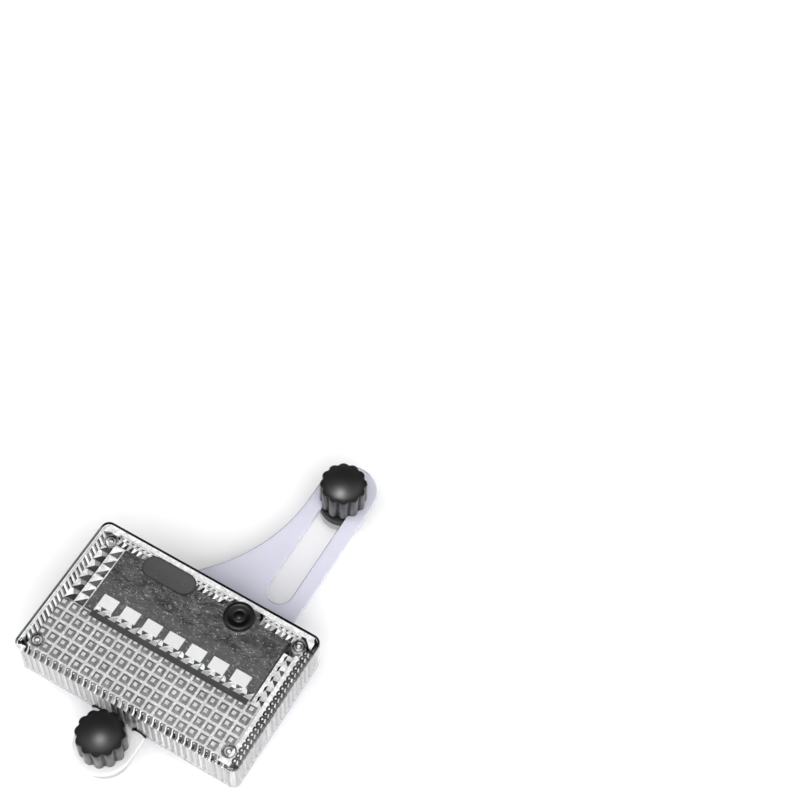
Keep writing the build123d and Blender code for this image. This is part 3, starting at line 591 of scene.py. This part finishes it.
panel = bmesh.new()
shade = panel.faces.layers.float.new("shade")
bmesh.ops.create_grid(panel, x_segments=panel_columns, y_segments=panel_rows, size=0.5)
middle = (panel_low + panel_high) / 2
bmesh.ops.scale(panel, vec=(panel_columns * facet_pitch, panel_rows * facet_pitch, 1), verts=panel.verts)
bmesh.ops.translate(panel, vec=(middle.x, middle.y, panel_level), verts=panel.verts)
post_places = [(x, y) for x in (-41.4, 41.4) for y in (-51.2, -4.4)]
post_room = 3.2
cells = [face for face in panel.faces
         if all(hypot(face.calc_center_median().x - x, face.calc_center_median().y - y) > 3.6
                for x, y in post_places)]
for face in panel.faces:
    face[shade] = 0.85
bmesh.ops.inset_individual(panel, faces=cells, thickness=(facet_pitch - pyramid_foot) / 2, use_even_offset=True)
before = set(panel.faces)
bmesh.ops.inset_individual(panel, faces=cells, thickness=(pyramid_foot - pyramid_top) / 2, depth=pyramid_height,
                           use_even_offset=True)
# The pyramids' sides get painted shade: those facing left or far are darker than the others.
for face in set(panel.faces) - before:
    heart = face.calc_center_median()
    face[shade] = 0.44 if face.normal.x < -0.3 or face.normal.y > 0.3 else 0.54
for face in cells:
    face[shade] = 0.83
before = set(panel.faces)
# A thin ring of painted shade round each pyramid's top.
bmesh.ops.inset_individual(panel, faces=cells, thickness=0.12, use_even_offset=True)
for face in set(panel.faces) - before:
    face[shade] = 0.36
close_below(panel, panel_level - panel_depth)
piece("reflector_panel_moulding", panel, panel_plastic, "lamp", ("reflector_panel",))


# The cut facets round the lamps: rows of small prisms moulded into the lens, each kind with its own cell.
# A cell is drawn once, in millimetres from its near left corner, and repeated along its row.
# Each facet's shade is painted light and shade, the brightness the real prisms show as they catch or lose the light.
facet_level = 25.1
facet_depth = 1.0
button_room = 6.95
facet_plastic = cut_plastic("cut plastic", 700.0)
case_low, case_high = [Vector(corner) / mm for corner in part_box("front_lens")]
luck = random.Random(7)


def prism_row(name, start, step, count, corners, facets, change=0.06, level=facet_level, depth=facet_depth):
    """Repeat a faceted cell, leave the button's hole free and make the row a piece of its own."""
    row = bmesh.new()
    shade = row.faces.layers.float.new("shade")
    verts = [row.verts.new((case_low.x + start[0] + x, case_low.y + start[1] + y, level + z))
             for x, y, z in corners]
    for chosen, value in facets:
        face = row.faces.new([verts[i] for i in chosen])
        face[shade] = value
    cell = list(row.verts) + list(row.edges) + list(row.faces)
    for copy in range(1, count):
        from_button = (case_low.x + start[0] + step[0] * copy - button_x,
                       case_low.y + start[1] + step[1] * copy - button_y)
        gaps = [max(min(corner[axis] for corner in corners) + from_button[axis],
                    -max(corner[axis] for corner in corners) - from_button[axis], 0.0) for axis in (0, 1)]
        if hypot(*gaps) < button_room:
            continue
        made = bmesh.ops.duplicate(row, geom=cell)["geom"]
        moved = [part for part in made if isinstance(part, bmesh.types.BMVert)]
        bmesh.ops.translate(row, verts=moved, vec=(step[0] * copy, step[1] * copy, 0.0))
    for face in row.faces:
        face[shade] += luck.uniform(-change, change)
        if face.normal.z < 0:
            face.normal_flip()
    close_below(row, level - depth)
    return piece(name, row, facet_plastic, "lamp")


p = facet_pitch
# Beside the lamps, on the left: a square prism cut along its diagonal.
prism_row("left_prisms", (8.9, 25.7), (0, p), 6,
          [(0, 0, -0.3), (4.1, 0, -0.6), (4.1, p, 0.4), (0, p, 0.1), (0.1, 0.45, -0.2), (4.1, 0.35, -0.5), (4.1, 3.9, 0.3)],
          [((0, 1, 5, 4), 0.80), ((4, 5, 6), 0.24), ((0, 4, 6, 2, 3), 0.95)])
prism_row("left_leaves", (4.7, 25.7), (0, p), 6,
          [(0, 0, -0.3), (3.8, 0, -0.6), (3.8, p, 0.4), (0, p, 0.1), (0.2, 0.5, -0.3), (3.8, 0.6, -0.5), (3.8, 3.2, 0.3),
           (2.6, 2.6, 0.5), (1.2, p, 0.2)],
          [((0, 1, 5, 4), 0.42), ((4, 5, 6, 7), 0.20), ((0, 4, 7, 8, 3), 0.96), ((7, 6, 2, 8), 0.68)], 0.1)
half = p / 2
prism_row("left_herringbone", (1.95, 4.2), (0, half), 22,
          [(0, 1.9, 0), (2.7, 0, -0.3), (2.7, 0.65, -0.1), (0, 2.55, 0.2), (2.7, 1.6, 0.3), (0, 3.5, 0.3), (2.7, half, 0),
           (0, 1.9 + half, 0)],
          [((0, 1, 2, 3), 0.28), ((3, 2, 4, 5), 0.98), ((5, 4, 6, 7), 0.56)], 0.1)
prism_row("left_band", (0.8, 3.0), (0, 9.0), 6,
          [(0, 0, 0.3), (0.42, 0, 0.3), (0.42, 9, 0.3), (0, 9, 0.3), (0.56, 0, 0.2), (0.56, 9, 0.2), (1.05, 0, 0.3),
           (1.05, 9, 0.3)],
          [((0, 1, 2, 3), 0.97), ((1, 4, 5, 2), 0.62), ((4, 6, 7, 5), 0.96)], 0.02)
# On the right: a diagonal prism with a dark spindle, a plain bright band and a toothed strip.
prism_row("right_prisms", (86.1, 25.7), (0, p), 5,
          [(0, 0, -0.3), (4.1, 0, -0.6), (4.1, p, 0.4), (0, p, 0.1), (1.7, 1.2, 0.3), (1.2, 3.3, 0.2), (1.9, p, 0.2),
           (2.2, 2.4, 0.5), (4.1, 0.7, -0.4), (4.1, 2.9, 0.2)],
          [((0, 1, 8, 7, 4), 0.90), ((8, 9, 7), 0.28), ((9, 2, 6, 7), 0.85), ((4, 7, 6, 5), 0.16), ((0, 4, 5, 6, 3), 0.94)], 0.08)
prism_row("right_band", (90.4, 3.2), (0, 9.3), 5,
          [(0, 0, 0.3), (1.6, 0, 0.3), (1.6, 9.3, 0.3), (0, 9.3, 0.3)], [((0, 1, 2, 3), 0.93)], 0.02)
prism_row("right_teeth", (92.0, 3.6), (0, half), 22,
          [(-0.35, 0, 0), (0.55, 0, 0.1), (0.1, 0.4, 0.2), (-0.05, 1.1, 0.2), (0.1, 1.8, 0.2), (0.55, half, 0.1),
           (-0.35, half, 0), (1.5, 0.2, 0), (0.85, 0.6, 0), (0.7, 1.1, 0), (0.85, 1.6, 0), (1.5, 2.1, 0), (1.6, 1.1, 0.2),
           (3.2, 0, -0.2), (3.2, half, -0.2), (2.2, 0.2, 0.1), (2.75, 0.3, 0.1), (2.2, 1.7, 0.1), (1.75, 1.6, 0.1)],
          [((0, 1, 2, 3, 4, 5, 6), 0.90), ((1, 7, 8, 9, 3, 2), 0.14), ((9, 10, 11, 5, 4, 3), 0.24),
           ((8, 12, 10, 9), 0.88), ((7, 15, 18, 11, 10, 12, 8), 0.26), ((15, 16, 17, 18), 0.86),
           ((1, 13, 16, 15, 7), 0.34), ((16, 13, 14, 17), 0.38), ((18, 17, 14, 5, 11), 0.30)], 0.07)
# A faint raised line across the mask, where its stippled part meets the plain one.
prism_row("mask_line", (18.0, 39.7), (p, 0), 15, [(0, 0, 0), (2.3, 0, 0), (2.5, 0.2, 0), (0, 0.2, 0)],
          [((0, 1, 2, 3), 0.50)], 0.16, 25.5, 0.1)
# A beaded seam between the prisms and the lamp mask.
prism_row("seam_bead", (13.05, 23.9), (0, p / 6), 43,
          [(0, 0, 0.3), (0.4, 0.1, 0.3), (0.4, 0.75, 0.3), (0, 0.75, 0.3)], [((0, 1, 2, 3), 0.88)], 0.1)
# Along the far and left edges: a smooth bright band, and beside it a row of small teeth.
prism_row("far_band", (3.0, 57.3), (1, 0), 1,
          [(0, 0, 0), (90, 0, 0), (90, 1.1, 0), (0, 1.1, 0), (90, 1.9, 0), (0, 1.9, 0)],
          [((0, 1, 2, 3), 0.95), ((3, 2, 4, 5), 0.99)], 0.0, 25.72, 0.14)
prism_row("far_teeth", (9.07, 55.4), (half, 0), 35,
          [(0, 0, 0), (half, 0, 0), (half, 1.9, 0.2), (0, 1.9, 0.2), (1.0, 0.5, 0.4), (0.3, 1.3, 0.2), (1.7, 1.4, 0.2)],
          [((0, 1, 4), 0.80), ((4, 6, 5), 0.18), ((1, 2, 6, 4), 0.92), ((0, 4, 5, 3), 0.74), ((5, 6, 2, 3), 0.93)], 0.1)
prism_row("far_shards", (9.07, 53.1), (half, 0), 35,
          [(0, 0, -0.1), (half, 0, -0.1), (half, 2.3, 0.1), (0, 2.3, 0.1), (0.8, 0.4, 0), (1.5, 1.9, 0.2)],
          [((0, 1, 4), 0.32), ((1, 2, 5, 4), 0.34), ((0, 4, 5, 3), 0.90), ((5, 2, 3), 0.60)], 0.24, 25.5, 0.16)
# Along the near edge: slanted loops, a dark one and a bright one in each pitch.
loop = 0.6 * p
for name, first, dark, grey, pale in (("near_loops_left", 5.0, 0.30, 0.60, 0.90), ("near_loops_right", 48.49, 0.12, 0.46, 0.97)):
    prism_row(name, (first, 0.95), (loop, 0), 16,
              [(1.1, 0, 0), (1.1 + loop, 0, 0), (loop, 2.55, 0), (0, 2.55, 0), (1.75, 0, 0), (0.65, 2.0, 0.1),
               (1.5, 2.4, 0.1), (2.75, 0.3, 0.2), (1.55, 1.35, 0.2), (1.25, 1.5, 0.2), (1.5, 2.0, 0.2), (1.95, 1.6, 0.2)],
              [((0, 4, 5, 3), pale), ((4, 7, 8, 9, 10, 6, 5), dark), ((9, 8, 11, 10), 0.97),
               ((8, 7, 11), dark + 0.1), ((11, 7, 1, 2, 6, 10), grey), ((3, 5, 6, 2), 0.88)], 0.1)
# Bright pads in the corners of the lens, round the screw posts, two of them with crescents of painted shade.
prism_row("far_left_corner", (1.9, 55.6), (1, 0), 1,
          [(0, 0, 0.2), (2.4, 1.2, 0.3), (5.2, 0.6, 0.3), (6.4, 1.6, 0.3), (1.4, 3.2, 0.3), (0.0, 2.0, 0.3)],
          [((0, 1, 4, 5), 0.99), ((1, 2, 3, 4), 0.97)], 0.01)
prism_row("far_right_corner", (90.0, 54.4), (1, 0), 1,
          [(0.3, 2.9, 0.3), (2.9, 0.4, 0.3), (4.0, 0.2, 0.3), (3.9, 2.6, 0.3), (2.7, 4.2, 0.3), (0.5, 4.6, 0.3),
           (5.1, 1.6, 0.2), (4.9, 3.4, 0.2), (3.6, 4.9, 0.2), (2.2, 5.2, 0.2)],
          [((0, 1, 2, 3, 4, 5), 0.97), ((2, 6, 7, 3), 0.10), ((3, 7, 8, 4), 0.06), ((4, 8, 9, 5), 0.10)], 0.02)
prism_row("near_left_corner", (0.75, 0.75), (1, 0), 1,
          [(0.2, 3.6, 0.2), (0.1, 2.0, 0.2), (0.9, 0.7, 0.2), (1.9, 1.4, 0.3), (1.5, 2.4, 0.3), (1.2, 3.6, 0.3),
           (3.6, 0.5, 0.3), (3.8, 1.6, 0.3)],
          [((0, 1, 4, 5), 0.07), ((1, 2, 3, 4), 0.12), ((2, 6, 7, 3), 0.95)], 0.02)
prism_row("near_right_corner", (90.2, 1.9), (1, 0), 1,
          [(-2.6, 0, 0.2), (2.2, 0, 0.2), (2.4, 1.4, 0.3), (0.2, 1.9, 0.3), (-2.2, 1.9, 0.3)],
          [((0, 1, 2, 3), 0.96), ((0, 3, 4), 0.9)], 0.02)
# Between the lamps and the baffle: a row that cuts across the near part of the windows.
prism_row("lamp_prisms", (17.63, 26.1), (p, 0), 15,
          [(0, 0, -0.2), (1.2, 0, -0.2), (p, 0, -0.2), (p, 3.6, 0), (1.5, 3.2, 0), (0.4, 3.7, 0), (0.3, 1.4, 0),
           (2.3, 1.4, 0.15), (4.2, 3.2, 0), (p, 2.4, 0)],
          [((0, 1, 7, 6), 0.34), ((6, 7, 4, 5), 0.96), ((1, 2, 9, 7), 0.72), ((4, 7, 8), 0.36), ((7, 9, 3, 8), 0.90)], 0.04, 25.55, 0.22)

# The fluted walls: upright prisms moulded on the inside of the shell's walls, all round.
glass_thick = 0.7
corner_radius = 3.5
flute_depth = 1.2
flute_foot = 10.6
flute_top = 24.0
flute_step = loop
flute_plastic = cut_plastic("fluted plastic", 900.0, (1.0, 1.0, 0.16))
centre = (case_low + case_high) / 2
half_length = (case_high.x - case_low.x) / 2
half_width = (case_high.y - case_low.y) / 2
flutes = bmesh.new()
shade = flutes.faces.layers.float.new("shade")
line = []
inner = glass_thick + 0.06
# Painted light and shade: each side of a rib has its own painted brightness, the right wall is painted a little
for quarter, painted_light_gain in enumerate((1.0, 1.1, 1.0, 1.0)):
    # lighter, and the rounded corners take one even shade.
    along, across = (half_length, half_width) if quarter % 2 == 0 else (half_width, half_length)
    run = 2 * (along - corner_radius)
    count = round(run / flute_step)
    turn = Matrix.Rotation(quarter * pi / 2, 2)
    for i in range(count):
        for part, depth, value in ((0.0, 0.0, 0.84), (0.22, flute_depth * 0.3, 0.18), (0.38, flute_depth * 0.6, 0.50),
                                   (0.52, flute_depth * 0.2, 0.72), (0.72, flute_depth * 0.5, 0.26)):
            line.append((turn @ Vector((-run / 2 + (i + part) * run / count, -across + inner + depth)), value * painted_light_gain))
    for i in range(6):
        angle = -pi / 2 + i * pi / 10
        bend = Vector((cos(angle), sin(angle))) * (corner_radius - inner)
        line.append((turn @ (Vector((along - corner_radius, -across + corner_radius)) + bend), 0.62))
ring = [flutes.verts.new((centre.x + point.x, centre.y + point.y, flute_foot)) for point, value in line]
sides = [flutes.edges.new((ring[i], ring[(i + 1) % len(ring)])) for i in range(len(ring))]
raised = bmesh.ops.extrude_edge_only(flutes, edges=sides)["geom"]
bmesh.ops.translate(flutes, verts=[part for part in raised if isinstance(part, bmesh.types.BMVert)],
                    vec=(0, 0, flute_top - flute_foot))
for face, (point, value) in zip(list(flutes.faces), line):
    face[shade] = value + luck.uniform(-0.12, 0.12)
bmesh.ops.recalc_face_normals(flutes, faces=flutes.faces)
wall = piece("wall_flutes", flutes, flute_plastic, "lamp")
thick = wall.modifiers.new("wall", "SOLIDIFY")
thick.thickness = 0.5 * mm
thick.offset = -1.0

# The screw posts: four tubes under the corners of the face, seen from above as broken rings of painted light and shade.
for number, (x, y) in enumerate(post_places):
    post = turned([(0.0, 24.7), (0.75, 24.9), (1.15, 25.2), (1.8, 25.0), (2.3, 25.5), (2.85, 25.6), (2.9, 10.5), (0.0, 10.5)],
                  (x, y), 24)
    shade = post.faces.layers.float.new("shade")
    for face in post.faces:
        heart = face.calc_center_median()
        reach = hypot(heart.x - x, heart.y - y)
        angle = atan2(heart.y - y, heart.x - x)
        base = 0.92 if reach < 0.5 else 0.22 if reach < 1.0 else 0.66 if reach < 1.5 else 0.24 if reach < 2.1 else 0.5
        if heart.z < 24:
            base = 0.8
        face[shade] = base + 0.16 * sin(2 * angle + number * 1.3) + luck.uniform(-0.12, 0.12)
    piece(f"screw_post_{number + 1}", post, facet_plastic, "lamp")


# The front lens: a clear polycarbonate shell, moulded in one, that snaps over the plate and is screwed from below.
face_thick = 1.6
rim_radius = 0.9
glass = bpy.data.materials.new("clear lens")
glass.use_nodes = True
tree = glass.node_tree
shader = tree.nodes["Principled BSDF"]
shader.inputs["Transmission Weight"].default_value = 1.0
shader.inputs["IOR"].default_value = 1.49
handling = node(tree, "TexNoise", Scale=160.0, Detail=3.0)
object_place = node(tree, "TexCoord")
clean = node(tree, "MapRange")
for socket, value in zip(clean.inputs[1:5], (0.45, 0.75, 0.0, 0.05)):
    socket.default_value = value
rim_shadow = node(tree, "Attribute", attribute_name="rim_shadow")
rim_tone = node(tree, "Mix", data_type="RGBA")
rim_tone.inputs["A"].default_value = (1.0, 1.0, 1.0, 1.0)
rim_tone.inputs["B"].default_value = (0.0004, 0.0004, 0.0005, 1.0)
link_all(tree, (rim_shadow.outputs["Fac"], rim_tone.inputs["Factor"]),
         (rim_tone.outputs["Result"], shader.inputs["Base Color"]), (object_place.outputs["Object"], handling.inputs["Vector"]),
         (handling.outputs["Fac"], clean.inputs["Value"]), (clean.outputs["Result"], shader.inputs["Roughness"]))


def rounded_case(inset, low, high, rim):
    """A block with the case's rounded outline, drawn in by the inset, with a rounded top edge."""
    block = bmesh.new()
    bmesh.ops.create_cube(block, size=1.0)
    bmesh.ops.scale(block, vec=(2 * (half_length - inset), 2 * (half_width - inset), high - low), verts=block.verts)
    bmesh.ops.translate(block, vec=(centre.x, centre.y, (low + high) / 2), verts=block.verts)
    upright = [edge for edge in block.edges if abs(edge.verts[0].co.z - edge.verts[1].co.z) > 1]
    bmesh.ops.bevel(block, geom=upright, offset=corner_radius - inset, segments=8, profile=0.5, affect="EDGES",
                    material=-1)
    brim = [edge for edge in block.edges if all(vert.co.z > high - 0.01 for vert in edge.verts)
            and any(abs(face.normal.z) < 0.5 for face in edge.link_faces)]
    bmesh.ops.bevel(block, geom=brim, offset=rim, segments=4, profile=0.5, affect="EDGES", material=-1)
    return block


def rod(radius, low, high, x, y, lying=False):
    """A cylinder, upright or lying along Y."""
    work = bmesh.new()
    turn = Matrix.Rotation(pi / 2, 4, "X") if lying else Matrix.Identity(4)
    bmesh.ops.create_cone(work, cap_ends=True, segments=64, radius1=radius, radius2=radius, depth=high - low,
                          matrix=turn)
    bmesh.ops.translate(work, vec=(x, y, 0 if lying else (low + high) / 2), verts=work.verts)
    return work


def carved(blank, *cutters):
    """The blank less the cutters."""
    objects = []
    for number, work in enumerate((blank,) + cutters):
        mesh = bpy.data.meshes.new("blank")
        work.to_mesh(mesh)
        work.free()
        objects.append(bpy.data.objects.new(f"blank_{number}", mesh))
        studio.collection.objects.link(objects[-1])
    for cutter in objects[1:]:
        cut = objects[0].modifiers.new("cut", "BOOLEAN")
        cut.operation = "DIFFERENCE"
        cut.solver = "EXACT"
        cut.object = cutter
    bpy.context.view_layer.update()
    depsgraph = bpy.context.evaluated_depsgraph_get()
    result = bmesh.new()
    result.from_mesh(objects[0].evaluated_get(depsgraph).data)
    for used in objects:
        bpy.data.objects.remove(used)
    return result


button_hole = 6.0
arch_radius = 3.2
arch_rise = 3.0
cutters = [rounded_case(glass_thick, case_low.z - 2, case_high.z - face_thick, 0.3),
           rod(button_hole, case_high.z - 3, case_high.z + 1, button_x, button_y)]
for x in (-11.25, 6.25):
    arch = rod(arch_radius, 0.0, 6.0, x, case_low.y, True)
    bmesh.ops.translate(arch, vec=(0, 0, case_low.z + arch_rise - arch_radius), verts=arch.verts)
    cutters.append(arch)
shell = carved(rounded_case(0.0, case_low.z, case_high.z, rim_radius), *cutters)
rim_shadow = shell.faces.layers.float.new("rim_shadow")
for face in shell.faces:
    heart = face.calc_center_median()
    past_left = heart.x - case_low.x
    past_far = case_high.y - heart.y
    if heart.z > case_high.z - rim_radius and 0.05 < face.normal.z < 0.995:
        if past_far < rim_radius * 0.9 or past_left < rim_radius * 0.55 or (
                past_far < corner_radius and min(past_left, case_high.x - heart.x) < corner_radius) or (
                past_left < rim_radius and heart.y - case_low.y < corner_radius):
            face[rim_shadow] = 1.0
skin = piece("front_lens_shell", shell, glass, "lamp", ("front_lens",), True)
edge = skin.modifiers.new("moulded edges", "BEVEL")
edge.width = 0.2 * mm
edge.segments = 2
edge.limit_method = "ANGLE"
edge.angle_limit = radians(50)
even = skin.modifiers.new("even faces", "WEIGHTED_NORMAL")
even.keep_sharp = True

# The arches' lips: two black rubber arcs that close the shell's arches against the lug, each round a pale
# tongue of the lug.
lip_width = 0.8
lip_depth = 0.95
lip_rubber = finish("lip rubber", tone(8), tone(5), 600.0, 0.6, Specular_IOR_Level=0.2)
tongue_plastic = finish("tongue plastic", tone(236), tone(226), 500.0, 0.3)
for number, x in enumerate((-11.25, 6.25)):
    lip = bmesh.new()
    shelf = case_low.z + 0.1
    middle_z = case_low.z + arch_rise - arch_radius
    reach = acos((shelf - middle_z) / arch_radius)
    loops = []
    for i in range(17):
        angle = reach * (i / 8 - 1)
        for radius in (arch_radius - 0.02, arch_radius - lip_width):
            loops.append(lip.verts.new((x + radius * sin(angle), case_low.y - 0.4, middle_z + radius * cos(angle))))
    faces = [lip.faces.new((loops[2 * i], loops[2 * i + 1], loops[2 * i + 3], loops[2 * i + 2])) for i in range(16)]
    grown = bmesh.ops.extrude_face_region(lip, geom=faces)["geom"]
    bmesh.ops.translate(lip, vec=(0, lip_depth, 0),
                        verts=[part for part in grown if isinstance(part, bmesh.types.BMVert)])
    bmesh.ops.recalc_face_normals(lip, faces=lip.faces)
    piece(f"arch_lip_{number + 1}", lip, lip_rubber, "lamp")
    tongue = bmesh.new()
    bow = [tongue.verts.new((x + (arch_radius - lip_width - 0.02) * sin(reach * (i / 8 - 1)), case_low.y - 0.1,
                             middle_z + (arch_radius - lip_width - 0.02) * cos(reach * (i / 8 - 1))))
           for i in range(17)]
    grown = bmesh.ops.extrude_face_region(tongue, geom=[tongue.faces.new(bow)])["geom"]
    bmesh.ops.translate(tongue, vec=(0, lip_depth / 2, 0),
                        verts=[part for part in grown if isinstance(part, bmesh.types.BMVert)])
    bmesh.ops.recalc_face_normals(tongue, faces=tongue.faces)
    piece(f"arch_tongue_{number + 1}", tongue, tongue_plastic, "lamp")

print("draft sections done")
